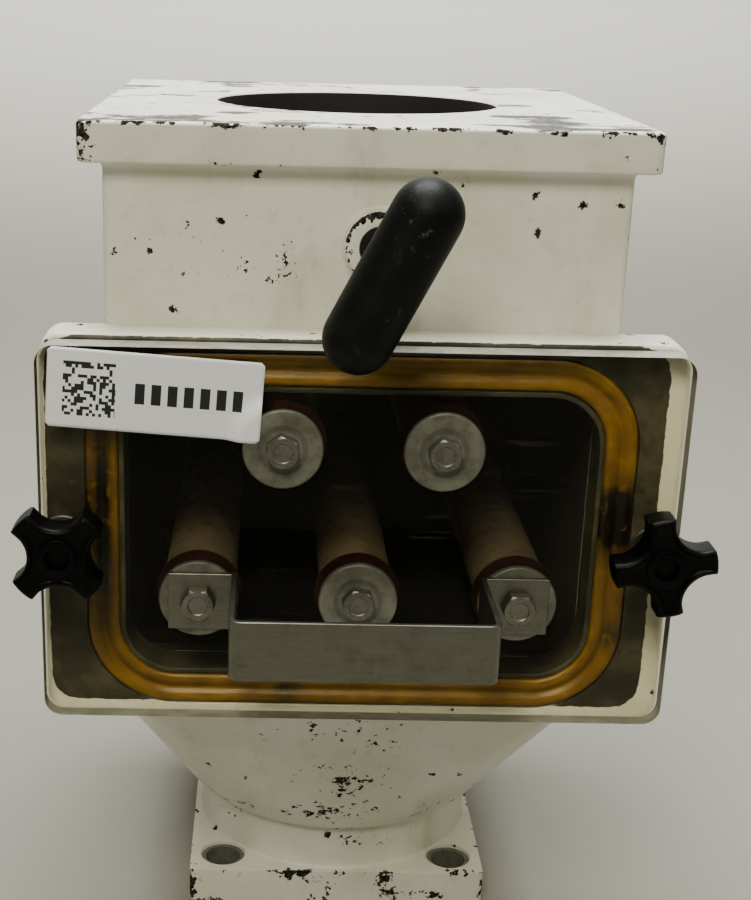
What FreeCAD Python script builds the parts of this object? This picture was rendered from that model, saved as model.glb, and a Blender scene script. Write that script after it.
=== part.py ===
import FreeCAD, Part
import math
import os

# Hopper-magnet housing: a push-pull knife gate above a drawer of five magnetic bars.
# Millimetres. The origin is the centre of the outlet at the underside of the bottom flange.
# +X points to the right as one faces the drawer, -Y out of the drawer's front, +Z up.

V = FreeCAD.Vector
os.makedirs("parts", exist_ok=True)

# ---- welded box and flanges ------------------------------------------------------
total_height = 398.0
box_width, box_depth, plate = 221.0, 243.0, 8.0
top_flange_lip_x, top_flange_lip_y, top_flange_thick = 9.5, 8.5, 17.0
top_flange_corner = 4.0
inlet_radius = 67.0

bottom_flange_side, bottom_flange_thick, bottom_flange_corner = 152.0, 18.0, 3.0
mount_spacing, mount_hole_radius = 118.5, 9.0
spotface_radius, spotface_depth = 11.5, 1.6
outlet_radius, neck_wall, neck_top = 67.0, 5.0, 45.0
hopper_foot_radius = 79.0                     # the hopper ends in a ledge around the neck
hopper_top, hopper_wall, hopper_corner = 142.0, 5.0, 4.0

# ---- drawer front ----------------------------------------------------------------
frame_wing, frame_bottom, frame_top, frame_thick = 25.5, 142.3, 313.3, 19.0
frame_corner, frame_edge_round = 9.0, 3.0
opening_width, opening_height, opening_middle, opening_corner = 201.0, 126.5, 227.2, 21.5
gasket_land, gasket_band, gasket_play = 2.5, 14.0, 0.25
groove_depth, gasket_crown, gasket_gap = 4.0, 2.4, 0.2
cover_gap, cover_thick = 1.0, 12.0            # the cover stands off the frame by its gap
cover_lift, cover_drop, cover_corner = 2.0, 2.6, 8.0    # cover edges inside the frame's

# ---- magnet bars, their washers and the pull handle --------------------------------
bar_radius, bar_wall, bar_length = 16.0, 1.2, 240.0
upper_bar_x, upper_bar_z = 33.6, 269.0
lower_bar_x, lower_bar_z = 68.4, 201.7
plug_length, core_play = 12.0, 0.2
magnet_length, pole_length = 22.0, 4.0
seal_radius, seal_thick = 18.5, 0.9
disc_radius, disc_thick, disc_round = 17.0, 3.0, 0.8
bolt_radius, bolt_play, head_flats, head_height = 4.0, 0.5, 13.0, 5.3
tab_width, strip_height, strip_thick = 29.5, 25.4, 2.5
handle_width, handle_reach, handle_bend = 108.5, 57.0, 5.0
label_width, label_height, label_thick = 88.8, 33.6, 0.3
label_x, label_z, label_tilt = -86.8, 290.8, -3.5

# ---- clamping knobs ----------------------------------------------------------------
knob_from_box, knob_z = 15.0, 227.0
knob_radius, knob_waist, knob_scoop = 21.5, 12.5, 12.5
knob_body_depth, knob_neck_depth, knob_neck_radius, knob_round = 15.0, 8.0, 9.5, 1.8
stud_radius, stud_play, stud_in_knob, stud_end_gap = 4.0, 0.35, 14.0, 3.0
knob_washer_radius, knob_washer_thick = 11.0, 1.6
knob_turn = {"left": 45.0, "right": 10.0}      # lobe angle from +X, degrees

# ---- knife gate --------------------------------------------------------------------
rod_x, rod_z, rod_radius = 5.5, 349.0, 6.0
deck_top, deck_thick = 338.0, 6.0
throat_width, throat_front, throat_back = 130.0, -6.0, 46.0
gate_travel, blade_stop_gap, blade_overlap = 60.0, 1.5, 6.0
blade_width, blade_thick, blade_lift = 150.0, 5.0, 0.3
rail_width, rail_lip, rail_lip_thick, rail_play = 20.0, 5.0, 3.5, 0.3
rail_front_gap, rail_back_reach = 4.5, 10.0
rail_screw_radius, rail_screw_head, rail_screw_head_height = 2.5, 4.5, 3.0
rail_screw_count, rail_screw_inset = 3, 14.0
funnel_sheet, funnel_lift, funnel_corner = 2.0, 1.0, 6.0
lug_width, lug_thick, lug_height = 26.0, 12.0, 15.0
journal_radius, running_play, end_play = 4.0, 0.05, 0.15
clip_radius, clip_groove, clip_thick, journal_tail = 5.4, 3.4, 1.0, 1.2
boss_radius, boss_depth, boss_round = 15.0, 10.0, 1.5
bush_radius, wiper_thick, wiper_play = 9.0, 3.0, 0.3
grip_radius, grip_length, grip_round, grip_tilt = 14.0, 80.5, 13.1, 27.0
grip_y, grip_stem_radius, grip_stem_length = -195.5, 10.5, 27.0
tee_radius, tee_length = 5.0, 62.0

# ---- places that follow from the sizes ---------------------------------------------
box_front, box_back = -box_depth / 2, box_depth / 2
inner_front, inner_back, inner_x = box_front + plate, box_back - plate, box_width / 2 - plate
flange_under = total_height - top_flange_thick
frame_width = box_width + 2 * frame_wing
cover_width, cover_bottom, cover_top = frame_width, frame_bottom + cover_lift, frame_top - cover_drop
knob_x = box_width / 2 + knob_from_box
frame_front = box_front - frame_thick
cover_back = frame_front - cover_gap
cover_front = cover_back - cover_thick
opening_bottom = opening_middle - opening_height / 2
opening_top = opening_middle + opening_height / 2
bar_front = cover_back + seal_thick
disc_front = cover_front - disc_thick
tab_front = disc_front - strip_thick
blade_bottom = deck_top + blade_lift
blade_top = blade_bottom + blade_thick
blade_front = inner_front + gate_travel + blade_stop_gap
blade_back = throat_back + blade_overlap
handle_bolts = (-lower_bar_x, lower_bar_x)
bar_places = [(-upper_bar_x, upper_bar_z), (upper_bar_x, upper_bar_z),
              (-lower_bar_x, lower_bar_z), (0.0, lower_bar_z), (lower_bar_x, lower_bar_z)]


def save(node, *solids):
    shape = solids[0] if len(solids) == 1 else Part.makeCompound(list(solids))
    shape.exportStep("parts/" + node + ".step")


def block(x0, x1, y0, y1, z0, z1):
    return Part.makeBox(x1 - x0, y1 - y0, z1 - z0, V(x0, y0, z0))


def round_y(radius, x, z, y0, y1):
    """Round bar along Y, from y0 to y1."""
    return Part.makeCylinder(radius, y1 - y0, V(x, y0, z), V(0, 1, 0))


def ring_y(outer, inner, x, z, y0, y1):
    return round_y(outer, x, z, y0, y1).cut(round_y(inner, x, z, y0 - 1, y1 + 1))


def round_z(radius, x, y, z0, z1):
    return Part.makeCylinder(radius, z1 - z0, V(x, y, z0))


def edges_where(solid, test):
    """Edges whose two ends and middle all pass the test."""
    chosen = []
    for edge in solid.Edges:
        first, last = edge.FirstParameter, edge.LastParameter
        if all(test(edge.valueAt(t)) for t in (first, (first + last) / 2, last)):
            chosen.append(edge)
    return chosen


def front_plate(width, height, corner, y0, y1, z_middle):
    """Upright plate with four rounded corners, facing -Y."""
    solid = block(-width / 2, width / 2, y0, y1, z_middle - height / 2, z_middle + height / 2)
    along_y = [e for e in solid.Edges if abs(e.tangentAt(e.FirstParameter).y) > 0.9]
    return solid.makeFillet(corner, along_y)


def rounded_rectangle(width, depth, corner, y, z):
    """Eight-edged wire in a level plane: a side, then a corner, four times round."""
    edges = []
    for quarter in range(4):
        along, across = (depth, width) if quarter % 2 == 0 else (width, depth)
        turn = FreeCAD.Rotation(V(0, 0, 1), 90 * quarter)
        reach, half = across / 2, along / 2 - corner
        bend = V(reach - corner, half, 0)
        middle = bend + V(corner, corner, 0) * math.sqrt(0.5)
        points = [V(reach, -half, 0), V(reach, half, 0), middle, bend + V(0, corner, 0)]
        a, b, c, d = [turn.multVec(p) + V(0, y, z) for p in points]
        edges += [Part.LineSegment(a, b).toShape(), Part.Arc(b, c, d).toShape()]
    return Part.Wire(edges)


def circle_in_eight(radius, z, side=12.0):
    """Circle split to pair with the rectangle's sides (short arcs) and corners (long arcs)."""
    def at(degrees):
        return V(radius * math.cos(math.radians(degrees)), radius * math.sin(math.radians(degrees)), z)

    edges = []
    for quarter in range(0, 360, 90):
        edges.append(Part.Arc(at(quarter - side), at(quarter), at(quarter + side)).toShape())
        edges.append(Part.Arc(at(quarter + side), at(quarter + 45), at(quarter + 90 - side)).toShape())
    return Part.Wire(edges)


def square_to_round(width, depth, corner, y, z_square, radius, z_round):
    wires = [rounded_rectangle(width, depth, corner, y, z_square), circle_in_eight(radius, z_round)]
    return Part.makeLoft(wires, True, True)


def top_flange():
    half_x, half_y = box_width / 2 + top_flange_lip_x, box_depth / 2 + top_flange_lip_y
    solid = block(-half_x, half_x, -half_y, half_y, flange_under, total_height)
    upright = [e for e in solid.Edges if abs(e.tangentAt(e.FirstParameter).z) > 0.9]
    solid = solid.makeFillet(top_flange_corner, upright)
    save("top_flange", solid.cut(round_z(inlet_radius, 0, 0, flange_under - 1, total_height + 1)))


def box_plates():
    side = block(inner_x, box_width / 2, box_front, box_back, hopper_top, flange_under)
    save("right_side_plate", side)
    save("left_side_plate", side.mirror(V(0, 0, 0), V(1, 0, 0)))
    save("rear_plate", block(-inner_x, inner_x, inner_back, box_back, hopper_top, flange_under))
    upper = block(-inner_x, inner_x, box_front, inner_front, opening_top, flange_under)
    save("front_upper_plate", upper.cut(round_y(bush_radius, rod_x, rod_z, box_front - 1, inner_front + 1)))
    save("front_lower_plate", block(-inner_x, inner_x, box_front, inner_front, hopper_top, opening_bottom))


def hopper_and_outlet():
    outer = square_to_round(box_width, box_depth, hopper_corner, 0, hopper_top,
                            hopper_foot_radius, neck_top)
    inner = square_to_round(box_width - 2 * hopper_wall, box_depth - 2 * hopper_wall, hopper_corner,
                            0, hopper_top, outlet_radius, neck_top)
    save("hopper", outer.cut(inner))
    neck = round_z(outlet_radius + neck_wall, 0, 0, bottom_flange_thick, neck_top)
    save("neck_ring", neck.cut(round_z(outlet_radius, 0, 0, 0, neck_top + 1)))

    half = bottom_flange_side / 2
    flange = block(-half, half, -half, half, 0, bottom_flange_thick)
    upright = [e for e in flange.Edges if abs(e.tangentAt(e.FirstParameter).z) > 0.9]
    flange = flange.makeFillet(bottom_flange_corner, upright)
    flange = flange.cut(round_z(outlet_radius, 0, 0, -1, bottom_flange_thick + 1))
    for x in (-mount_spacing / 2, mount_spacing / 2):
        for y in (-mount_spacing / 2, mount_spacing / 2):
            flange = flange.cut(round_z(mount_hole_radius, x, y, -1, bottom_flange_thick + 1))
            spot = round_z(spotface_radius, x, y, bottom_flange_thick - spotface_depth,
                           bottom_flange_thick + 1)
            flange = flange.cut(spot)
    save("bottom_flange", flange)


def front_frame():
    height = frame_top - frame_bottom
    solid = front_plate(frame_width, height, frame_corner, frame_front, box_front,
                        (frame_top + frame_bottom) / 2)
    rim = edges_where(solid, lambda p: abs(p.y - frame_front) < 0.01)
    solid = solid.makeFillet(frame_edge_round, rim)
    solid = solid.cut(front_plate(opening_width, opening_height, opening_corner,
                                  frame_front - 1, box_front + 1, opening_middle))
    solid = solid.cut(gasket_ring(gasket_play, frame_front - 1, frame_front + groove_depth))
    for x in (-knob_x, knob_x):
        solid = solid.cut(round_y(stud_radius + stud_play, x, knob_z, frame_front - 1, box_front + 1))
    save("front_frame", solid)


def gasket_ring(play, y0, y1):
    """Band around the drawer opening; play widens it on both sides."""
    inner, outer = gasket_land - play, gasket_land + gasket_band + play

    def plate_past(edge, y_from, y_to):
        return front_plate(opening_width + 2 * edge, opening_height + 2 * edge, opening_corner + edge,
                           y_from, y_to, opening_middle)

    return plate_past(outer, y0, y1).cut(plate_past(inner, y0 - 1, y1 + 1))


def cover_gasket():
    crown_y = cover_back + gasket_gap
    ring = gasket_ring(0, crown_y, frame_front + groove_depth)
    rims = edges_where(ring, lambda p: abs(p.y - crown_y) < 0.01)
    save("cover_gasket", ring.makeFillet(gasket_crown, rims))


def cover_plate():
    solid = front_plate(cover_width, cover_top - cover_bottom, cover_corner, cover_front, cover_back,
                        (cover_top + cover_bottom) / 2)
    for x, z in bar_places:
        solid = solid.cut(round_y(bolt_radius + bolt_play, x, z, cover_front - 1, cover_back + 1))
    for x in (-knob_x, knob_x):
        solid = solid.cut(round_y(stud_radius + stud_play, x, knob_z, cover_front - 1, cover_back + 1))
    save("cover_plate", solid)


def magnet_bars():
    bar_end = bar_front + bar_length
    bore = bar_radius - bar_wall
    core_from, core_to = bar_front + plug_length, bar_end - plug_length
    pitch = magnet_length + pole_length
    count = int((core_to - core_from - pole_length) / pitch)
    plugs, end_plugs = [], []
    for number, (x, z) in enumerate(bar_places, 1):
        save("bar_tube_%d" % number, ring_y(bar_radius, bore, x, z, bar_front, bar_end))
        magnets, poles = [], []
        for step in range(count):
            y = core_from + step * pitch
            poles.append(round_y(bore - core_play, x, z, y, y + pole_length))
            magnets.append(round_y(bore - core_play, x, z, y + pole_length, y + pitch))
        end = core_from + count * pitch
        poles.append(round_y(bore - core_play, x, z, end, core_to))
        save("magnet_stack_%d" % number, *magnets)
        save("pole_discs_%d" % number, *poles)
        plugs.append(ring_y(bore, bolt_radius, x, z, bar_front, core_from))
        end_plugs.append(round_y(bore, x, z, core_to, bar_end))
    save("bar_front_plugs", *plugs)
    save("bar_end_plugs", *end_plugs)


def bar_fasteners():
    seals, discs, bolts = [], [], []
    for x, z in bar_places:
        seals.append(ring_y(seal_radius, bolt_radius + bolt_play, x, z, cover_back, bar_front))
        disc = round_y(disc_radius, x, z, disc_front, cover_front)
        disc = disc.makeFillet(disc_round, edges_where(disc, lambda p: abs(p.y - disc_front) < 0.01))
        discs.append(disc.cut(round_y(bolt_radius + bolt_play, x, z, disc_front - 1, cover_front + 1)))
        seat = tab_front if x in handle_bolts else disc_front
        bolts.append(hex_bolt(x, z, seat))
    save("bar_seals", *seals)
    save("disc_washers", *discs)
    save("bar_bolts", *bolts)


def hex_bolt(x, z, seat):
    corners = []
    for step in range(7):
        angle = math.radians(60 * step + 30)
        reach = head_flats / 2 / math.cos(math.radians(30))
        corners.append(V(x + reach * math.cos(angle), seat - head_height, z + reach * math.sin(angle)))
    head = Part.Face(Part.makePolygon(corners)).extrude(V(0, head_height, 0))
    return head.fuse(round_y(bolt_radius, x, z, seat, bar_front + plug_length)).removeSplitter()


def pull_handle():
    half = handle_width / 2
    bottom, top = lower_bar_z - strip_height / 2, lower_bar_z + strip_height / 2
    front = cover_front - handle_reach
    solid = block(-half, half, front, front + strip_thick, bottom, top)
    for side in (-1, 1):
        inner, outer = side * (half - strip_thick), side * half
        far = side * (half - strip_thick + tab_width)
        leg = block(min(inner, outer), max(inner, outer), front, disc_front, bottom, top)
        tab = block(min(inner, far), max(inner, far), tab_front, disc_front, bottom, top)
        solid = solid.fuse(leg).fuse(tab)
    solid = solid.removeSplitter()
    for reach, bend in ((half, handle_bend), (half - strip_thick, handle_bend - strip_thick)):
        y = front if reach == half else front + strip_thick
        bends = edges_where(solid, lambda p: abs(abs(p.x) - reach) < 0.01 and abs(p.y - y) < 0.01)
        solid = solid.makeFillet(bend, bends)
    for x in handle_bolts:
        solid = solid.cut(round_y(bolt_radius + bolt_play, x, lower_bar_z, tab_front - 1, disc_front + 1))
    save("pull_handle", solid)


def asset_label():
    half_x, half_z = label_width / 2, label_height / 2
    solid = block(-half_x, half_x, cover_front - label_thick, cover_front, -half_z, half_z)
    solid.rotate(V(0, 0, 0), V(0, 1, 0), -label_tilt)
    solid.translate(V(label_x, 0, label_z))
    x, z = bar_places[0]
    save("asset_label", solid.cut(round_y(disc_radius + 0.5, x, z, cover_front - 1, cover_front)))


def knobs():
    washer_front = cover_front - knob_washer_thick
    body_back = washer_front - knob_neck_depth
    body_front = body_back - knob_body_depth
    for side, x in (("left", -knob_x), ("right", knob_x)):
        star = round_y(knob_radius, x, knob_z, body_front, body_back)
        for scoop in range(4):
            angle = math.radians(90 * scoop)
            reach = knob_waist + knob_scoop
            star = star.cut(round_y(knob_scoop, x + reach * math.cos(angle),
                                    knob_z + reach * math.sin(angle), body_front - 1, body_back + 1))
        star = star.makeFillet(knob_round, edges_where(star, lambda p: abs(p.y - body_front) < 0.01))
        star = star.fuse(round_y(knob_neck_radius, x, knob_z, body_back, washer_front))
        star.rotate(V(x, 0, knob_z), V(0, -1, 0), knob_turn[side] - 45)
        stud = round_y(stud_radius, x, knob_z, washer_front - stud_in_knob, box_front - stud_end_gap)
        save(side + "_knob", star.removeSplitter().cut(stud))
        save(side + "_knob_stud", stud)
        save(side + "_knob_washer", ring_y(knob_washer_radius, stud_radius + stud_play, x, knob_z,
                                           washer_front, cover_front))


def gate_seat():
    deck = block(-inner_x, inner_x, inner_front, inner_back, deck_top - deck_thick, deck_top)
    half = throat_width / 2
    save("gate_deck", deck.cut(block(-half, half, throat_front, throat_back,
                                     deck_top - deck_thick - 1, deck_top + 1)))

    throat_y, throat_depth = (throat_front + throat_back) / 2, throat_back - throat_front
    foot = blade_top + funnel_lift
    inner = square_to_round(throat_width, throat_depth, funnel_corner, throat_y, foot,
                            inlet_radius, flange_under)
    outer = square_to_round(throat_width + 2 * funnel_sheet, throat_depth + 2 * funnel_sheet,
                            funnel_corner + funnel_sheet, throat_y, foot,
                            inlet_radius + funnel_sheet, flange_under)
    save("inlet_funnel", outer.cut(inner))


def gate_rails():
    near = blade_width / 2 + rail_play
    far = near + rail_width
    y0, y1 = inner_front + rail_front_gap, blade_back + rail_back_reach
    lip_under = blade_top + rail_play
    lip_top = lip_under + rail_lip_thick
    rail = block(near, far, y0, y1, deck_top, lip_top)
    rail = rail.fuse(block(near - rail_lip, far, y0, y1, lip_under, lip_top)).removeSplitter()
    screw_x = (near + far) / 2
    step = (y1 - y0 - 2 * rail_screw_inset) / (rail_screw_count - 1)
    screws = []
    for number in range(rail_screw_count):
        y = y0 + rail_screw_inset + number * step
        rail = rail.cut(round_z(rail_screw_radius, screw_x, y, deck_top - 1, lip_top + 1))
        for side in (-1, 1):
            head = round_z(rail_screw_head, side * screw_x, y, lip_top, lip_top + rail_screw_head_height)
            shank = round_z(rail_screw_radius, side * screw_x, y, deck_top, lip_top)
            screws.append(head.fuse(shank).removeSplitter())
    save("right_gate_rail", rail)
    save("left_gate_rail", rail.mirror(V(0, 0, 0), V(1, 0, 0)))
    save("rail_screws", *screws)


def gate_blade():
    half = blade_width / 2
    save("gate_blade", block(-half, half, blade_front, blade_back, blade_bottom, blade_top))
    lug = block(rod_x - lug_width / 2, rod_x + lug_width / 2, blade_front, blade_front + lug_thick,
                blade_top, blade_top + lug_height)
    hole = round_y(journal_radius + running_play, rod_x, rod_z, blade_front - 1,
                   blade_front + lug_thick + 1)
    save("rod_lug", lug.cut(hole))


def gate_rod():
    shoulder = blade_front - end_play
    clip_from = blade_front + lug_thick + end_play
    clip_to = clip_from + clip_thick
    bar = round_y(rod_radius, rod_x, rod_z, grip_y, shoulder)
    bar = bar.fuse(round_y(journal_radius, rod_x, rod_z, shoulder, clip_to + journal_tail))
    bar = bar.cut(ring_y(journal_radius + 1, clip_groove, rod_x, rod_z, clip_from, clip_to))
    bar = bar.cut(tee_bar()).removeSplitter()
    save("gate_rod", bar)
    save("rod_clip", ring_y(clip_radius, clip_groove, rod_x, rod_z, clip_from, clip_to))
    return bar


def tilted(radius, length):
    """Round bar centred on the grip and leaning by its tilt."""
    lean = V(math.sin(math.radians(grip_tilt)), 0, math.cos(math.radians(grip_tilt)))
    return Part.makeCylinder(radius, length, V(rod_x, grip_y, rod_z) - lean * (length / 2), lean)


def tee_bar():
    return tilted(tee_radius, tee_length)


def t_handle(bar):
    save("t_handle_bar", tee_bar())
    grip = tilted(grip_radius, grip_length)
    rims = [e for e in grip.Edges if e.Curve.TypeId == "Part::GeomCircle"]
    grip = grip.makeFillet(grip_round, rims)
    grip = grip.fuse(round_y(grip_stem_radius, rod_x, rod_z, grip_y, grip_y + grip_stem_length))
    save("t_handle_grip", grip.cut(tee_bar()).cut(bar))


def rod_guide():
    mouth = box_front - boss_depth
    boss = round_y(boss_radius, rod_x, rod_z, mouth, box_front)
    boss = boss.makeFillet(boss_round, edges_where(boss, lambda p: abs(p.y - mouth) < 0.01))
    save("rod_boss", boss.cut(round_y(bush_radius, rod_x, rod_z, mouth - 1, box_front + 1)))
    save("rod_bush", ring_y(bush_radius, rod_radius + running_play, rod_x, rod_z,
                            mouth + wiper_thick, inner_front))
    save("rod_wiper", ring_y(bush_radius, rod_radius + wiper_play, rod_x, rod_z,
                             mouth, mouth + wiper_thick))


top_flange()
box_plates()
hopper_and_outlet()
front_frame()
cover_gasket()
cover_plate()
magnet_bars()
bar_fasteners()
pull_handle()
asset_label()
knobs()
gate_seat()
gate_rails()
gate_blade()
t_handle(gate_rod())
rod_guide()
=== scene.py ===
import math
import random

import bmesh
import bpy
import numpy as np
from mathutils import Matrix, Vector


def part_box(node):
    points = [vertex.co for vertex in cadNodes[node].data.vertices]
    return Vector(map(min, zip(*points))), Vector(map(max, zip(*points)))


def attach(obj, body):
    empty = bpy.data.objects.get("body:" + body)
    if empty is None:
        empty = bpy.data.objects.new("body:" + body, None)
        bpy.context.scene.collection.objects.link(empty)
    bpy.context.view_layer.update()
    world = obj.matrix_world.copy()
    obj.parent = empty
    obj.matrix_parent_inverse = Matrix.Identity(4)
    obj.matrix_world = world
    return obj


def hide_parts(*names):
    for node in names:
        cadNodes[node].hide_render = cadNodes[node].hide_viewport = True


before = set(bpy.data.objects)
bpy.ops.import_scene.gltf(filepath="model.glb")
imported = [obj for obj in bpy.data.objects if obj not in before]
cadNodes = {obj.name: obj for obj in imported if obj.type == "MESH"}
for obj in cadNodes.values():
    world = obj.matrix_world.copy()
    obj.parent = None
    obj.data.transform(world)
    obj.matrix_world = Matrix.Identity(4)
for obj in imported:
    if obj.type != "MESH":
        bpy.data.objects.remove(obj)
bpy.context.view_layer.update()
mm = 0.001


# helpers for colours and shader nodes

def linear(hexColour):
    parts = [int(hexColour[i:i + 2], 16) / 255 for i in (1, 3, 5)]
    return [p / 12.92 if p <= 0.04045 else ((p + 0.055) / 1.055) ** 2.4 for p in parts] + [1.0]


def addNode(tree, kind, inputs=None, out=0, **settings):
    # one shader node with its settings and links; gives back the output that is asked for
    node = tree.nodes.new("ShaderNode" + kind)
    for name, value in settings.items():
        setattr(node, name, value)
    for key, value in (inputs or {}).items():
        if isinstance(value, bpy.types.NodeSocket):
            tree.links.new(value, node.inputs[key])
        else:
            node.inputs[key].default_value = linear(value) if isinstance(value, str) else value
    return node.outputs[out] if len(node.outputs) else node


def blotches(tree, place, size, low, high, detail=4.0, rough=0.6, stretch=(1, 1, 1), shift=0.0):
    # mask of lumps about this many millimetres across, 0 below low and 1 above high
    moved = addNode(tree, "Mapping", {"Vector": place, "Scale": stretch,
                                      "Location": (shift, shift * 0.7, shift * 1.3)})
    lumps = addNode(tree, "TexNoise", {"Vector": moved, "Scale": 1.0 / (size * mm), "Detail": detail,
                                       "Roughness": rough})
    return addNode(tree, "MapRange", {"Value": lumps, "From Min": low, "From Max": high},
                   interpolation_type="SMOOTHSTEP")


def startMaterial(name):
    material = bpy.data.materials.new(name)
    material.use_nodes = True
    tree = material.node_tree
    tree.nodes.clear()
    return material, tree, addNode(tree, "TexCoord", out=3)


# finishes, each from what the real surface is

enamel = {
    "paint": ("#e9e8db", "#dcdac6"), "stain": "#aba585", "grime": "#87836a",
    "under": ("#14110f", "#3b3733"), "steel": ("#4f4e4b", "#72716c"),
    "patch": 55, "run": 26, "chip": 8.0, "rag": 2.4, "pit": 15.0, "brush": 3.0, "cast": 14.0,
}


def enamelSurface(tree, place):
    # alkyd enamel brushed on a casting: satin, yellowed in patches, chipped to dark scale
    wear = addNode(tree, "Attribute", out=2, attribute_name="wear")
    rub = addNode(tree, "Attribute", out=2, attribute_name="rub")

    tone = addNode(tree, "Mix", {0: blotches(tree, place, enamel["patch"], 0.35, 0.7),
                                 6: enamel["paint"][0], 7: enamel["paint"][1]}, out=2, data_type="RGBA")
    runs = blotches(tree, place, enamel["run"], 0.54, 0.78, 5, 0.65, (1, 1, 0.28), 3.1)
    runs = addNode(tree, "Math", {0: runs, 1: 0.40}, operation="MULTIPLY")
    tone = addNode(tree, "Mix", {0: runs, 6: tone, 7: enamel["stain"]}, out=2, data_type="RGBA")
    grime = blotches(tree, place, 7, 0.52, 0.8, 6, 0.7, shift=1.7)
    grime = addNode(tree, "Math", {0: grime, 1: 0.22}, operation="MULTIPLY")
    tone = addNode(tree, "Mix", {0: grime, 6: tone, 7: enamel["grime"]}, out=2, data_type="RGBA")

    # chips: ragged lumps that pass a limit sooner where the surface is knocked
    lumps = blotches(tree, place, enamel["chip"], 0.0, 1.0, 5, 0.62, shift=5.3)
    ragged = blotches(tree, place, enamel["rag"], 0.0, 1.0, 3, 0.6, shift=2.2)
    field = addNode(tree, "Mix", {0: 0.42, 2: lumps, 3: ragged}, data_type="FLOAT")
    knocked = addNode(tree, "Math", {0: wear, 1: 0.42, 2: field}, operation="MULTIPLY_ADD")
    chips = addNode(tree, "MapRange", {"Value": knocked, "From Min": 0.80, "From Max": 0.815})
    # pits: one in a few cells holds a small dark speck
    cells = tree.nodes.new("ShaderNodeTexVoronoi")
    tree.links.new(place, cells.inputs["Vector"])
    cells.inputs["Scale"].default_value = 1.0 / (enamel["pit"] * mm)
    picked = addNode(tree, "SeparateColor", {0: cells.outputs["Color"]})
    picked = addNode(tree, "Math", {0: picked, 1: 0.52}, operation="GREATER_THAN")
    away = addNode(tree, "Math", {0: ragged, 1: 0.34, 2: cells.outputs["Distance"]}, operation="MULTIPLY_ADD")
    specks = addNode(tree, "MapRange", {"Value": away, "From Min": 0.285, "From Max": 0.26})
    specks = addNode(tree, "Math", {0: specks, 1: picked}, operation="MULTIPLY")
    gone = addNode(tree, "Math", {0: chips, 1: specks}, operation="MAXIMUM")
    # smears of bare steel, where a mating flange rubbed the paint off
    smear = blotches(tree, place, 26, 0.0, 1.0, 6, 0.68, (0.6, 1.1, 1), 8.4)
    smear = addNode(tree, "Math", {0: rub, 1: 0.55, 2: smear}, operation="MULTIPLY_ADD")
    rubbed = addNode(tree, "MapRange", {"Value": smear, "From Min": 0.84, "From Max": 0.90})

    under = addNode(tree, "Mix", {0: blotches(tree, place, 1.6, 0.4, 0.65, 3, shift=6.6),
                                  6: enamel["under"][0], 7: enamel["under"][1]}, out=2, data_type="RGBA")
    steel = addNode(tree, "Mix", {0: blotches(tree, place, 4, 0.3, 0.7, 4, shift=9.9),
                                  6: enamel["steel"][0], 7: enamel["steel"][1]}, out=2, data_type="RGBA")
    tone = addNode(tree, "Mix", {0: gone, 6: tone, 7: under}, out=2, data_type="RGBA")
    tone = addNode(tree, "Mix", {0: rubbed, 6: tone, 7: steel}, out=2, data_type="RGBA")

    off = addNode(tree, "Math", {0: gone, 1: rubbed}, operation="MAXIMUM")
    rough = addNode(tree, "MapRange", {"Value": off, "To Min": 0.40, "To Max": 0.85})
    gloss = addNode(tree, "MapRange", {"Value": off, "To Min": 0.5, "To Max": 0.12})
    brushed = blotches(tree, place, enamel["brush"], 0.0, 1.0, 4, 0.6, (1, 1, 0.35), 4.4)
    lumpy = blotches(tree, place, enamel["cast"], 0.0, 1.0, 3, 0.5, shift=7.1)
    surface = addNode(tree, "Math", {0: brushed, 1: 0.25, 2: lumpy}, operation="MULTIPLY_ADD")
    soft = addNode(tree, "Bump", {"Height": surface, "Distance": 0.5 * mm, "Strength": 0.55})
    level = addNode(tree, "Math", {0: 1.0, 1: off}, operation="SUBTRACT")
    edged = addNode(tree, "Bump", {"Height": level, "Distance": 0.25 * mm, "Strength": 0.8, "Normal": soft})
    return addNode(tree, "BsdfPrincipled", {"Base Color": tone, "Roughness": rough, "Normal": edged,
                                            "Specular IOR Level": gloss})


machinedIron = {"dark": "#2b2920", "light": "#56523f", "film": "#332f24", "toolMark": 5.5}


def ironSurface(tree, place):
    # milled cast-iron face under old grease: dark and satin, with faint cutter arcs
    tone = addNode(tree, "Mix", {0: blotches(tree, place, 28, 0.38, 0.66, 5), 6: machinedIron["dark"],
                                 7: machinedIron["light"]}, out=2, data_type="RGBA")
    film = blotches(tree, place, 9, 0.45, 0.75, 5, 0.7, shift=2.0)
    tone = addNode(tree, "Mix", {0: film, 6: tone, 7: machinedIron["film"]}, out=2, data_type="RGBA")
    arcs = addNode(tree, "TexWave", {"Vector": place, "Scale": 0.05 / (machinedIron["toolMark"] * mm),
                                     "Distortion": 0.6}, out=1, wave_type="RINGS", rings_direction="Y")
    normal = addNode(tree, "Bump", {"Height": arcs, "Distance": 0.02 * mm, "Strength": 0.5})
    return addNode(tree, "BsdfPrincipled", {"Base Color": tone, "Metallic": 0.4, "Roughness": 0.5,
                                            "Normal": normal})


def makeCasting(name, surfaces):
    # a painted casting; where it also has a milled face, paint is left in a ragged band at the rim
    material, tree, place = startMaterial(name)
    shader = surfaces[0](tree, place)
    if len(surfaces) > 1:
        inside = addNode(tree, "Attribute", out=2, attribute_name="bare")
        ragged = blotches(tree, place, 5, 0.0, 1.0, 5, 0.6, shift=3.7)
        inside = addNode(tree, "Math", {0: ragged, 1: 1.6, 2: inside}, operation="MULTIPLY_ADD")
        cut = addNode(tree, "MapRange", {"Value": inside, "From Min": 0.65, "From Max": 0.95})
        shader = addNode(tree, "MixShader", {0: cut, 1: shader, 2: surfaces[1](tree, place)})
    addNode(tree, "OutputMaterial", {"Surface": shader})
    return material


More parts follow.
